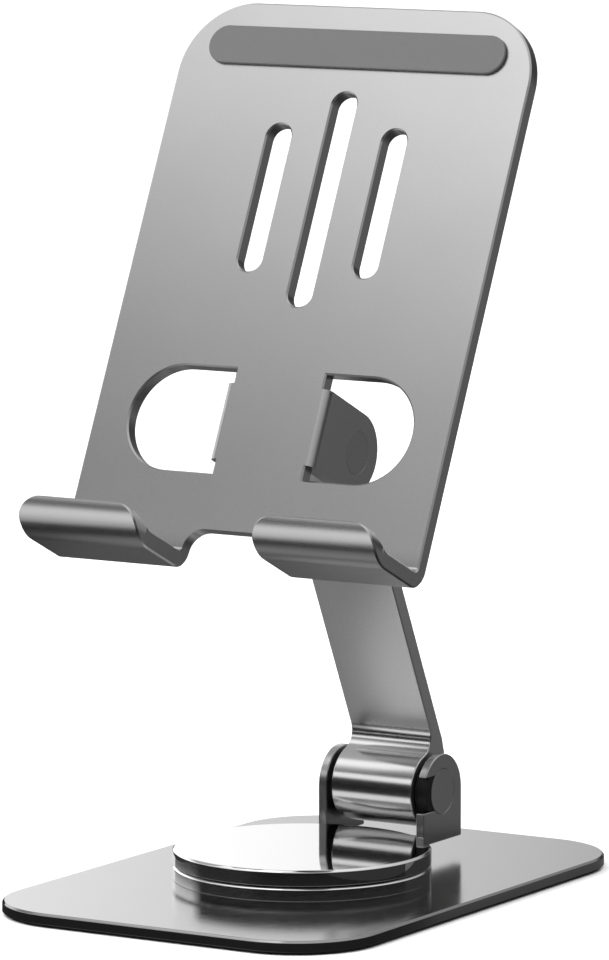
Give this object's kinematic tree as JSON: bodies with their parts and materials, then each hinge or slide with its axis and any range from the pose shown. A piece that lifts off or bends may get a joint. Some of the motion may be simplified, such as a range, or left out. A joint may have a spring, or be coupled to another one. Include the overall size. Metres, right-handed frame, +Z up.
{
  "type": "phone stand",
  "caption": "Foldable metal phone stand: flat base with a swivelling disc, a hinged arm and a tilting holder plate with hooks.",
  "frame": {"origin": "centre of the base's underside, on the surface that the stand rests on", "axes": "+Z up, +X to the right along the hinges, and the phone faces -Y"},
  "size_m": [0.076, 0.112, 0.1611],
  "materials": {
    "base_metal": "gloss, grey plated",
    "disc_metal": "mirror polished, dark grey",
    "frame_metal": "satin, gunmetal grey anodised",
    "base_rubber": "matte",
    "silicone": "matte, mid grey",
    "black_polymer": "matte, black",
    "bush_metal": "satin, sintered bronze",
    "pin_steel": "satin"
  },
  "bodies": {
    "base": {"base_plate": "base_metal", "base_mat": "base_rubber", "lower_disc": "disc_metal", "lower_disc_screws": "pin_steel", "pivot_bush": "bush_metal", "slip_ring": "black_polymer"},
    "turntable": {"turntable_disc": "disc_metal", "hinge_bracket": "frame_metal", "bracket_screws": "pin_steel", "pivot_stud": "pin_steel", "pivot_spring_washer": "pin_steel", "pivot_nut": "pin_steel", "arm_pin": "pin_steel", "key_washer": "black_polymer", "plain_washer": "black_polymer", "lower_disc_springs": "pin_steel"},
    "arm": {"arm": "frame_metal", "lower_bush": "bush_metal", "upper_bush": "bush_metal"},
    "holder": {"holder_plate": "frame_metal", "top_pad": "silicone", "hook_pads": "silicone", "holder_pin": "pin_steel", "holder_nut": "pin_steel", "upper_washers": "black_polymer"}
  },
  "joints": [
    {"name": "turntable_spin", "type": "hinge", "parent": "base", "child": "turntable", "pos_m": [0, -0.0023, 0], "axis": [0, 0, 1], "continuous": true},
    {"name": "arm_fold", "type": "hinge", "parent": "turntable", "child": "arm", "pos_m": [0, 0.0294, 0.0148], "axis": [1, 0, 0], "range_deg": [-25, 40]},
    {"name": "holder_tilt", "type": "hinge", "parent": "arm", "child": "holder", "pos_m": [0, -0.00116, 0.08178], "axis": [1, 0, 0], "range_deg": [-130, 35]}
  ]
}
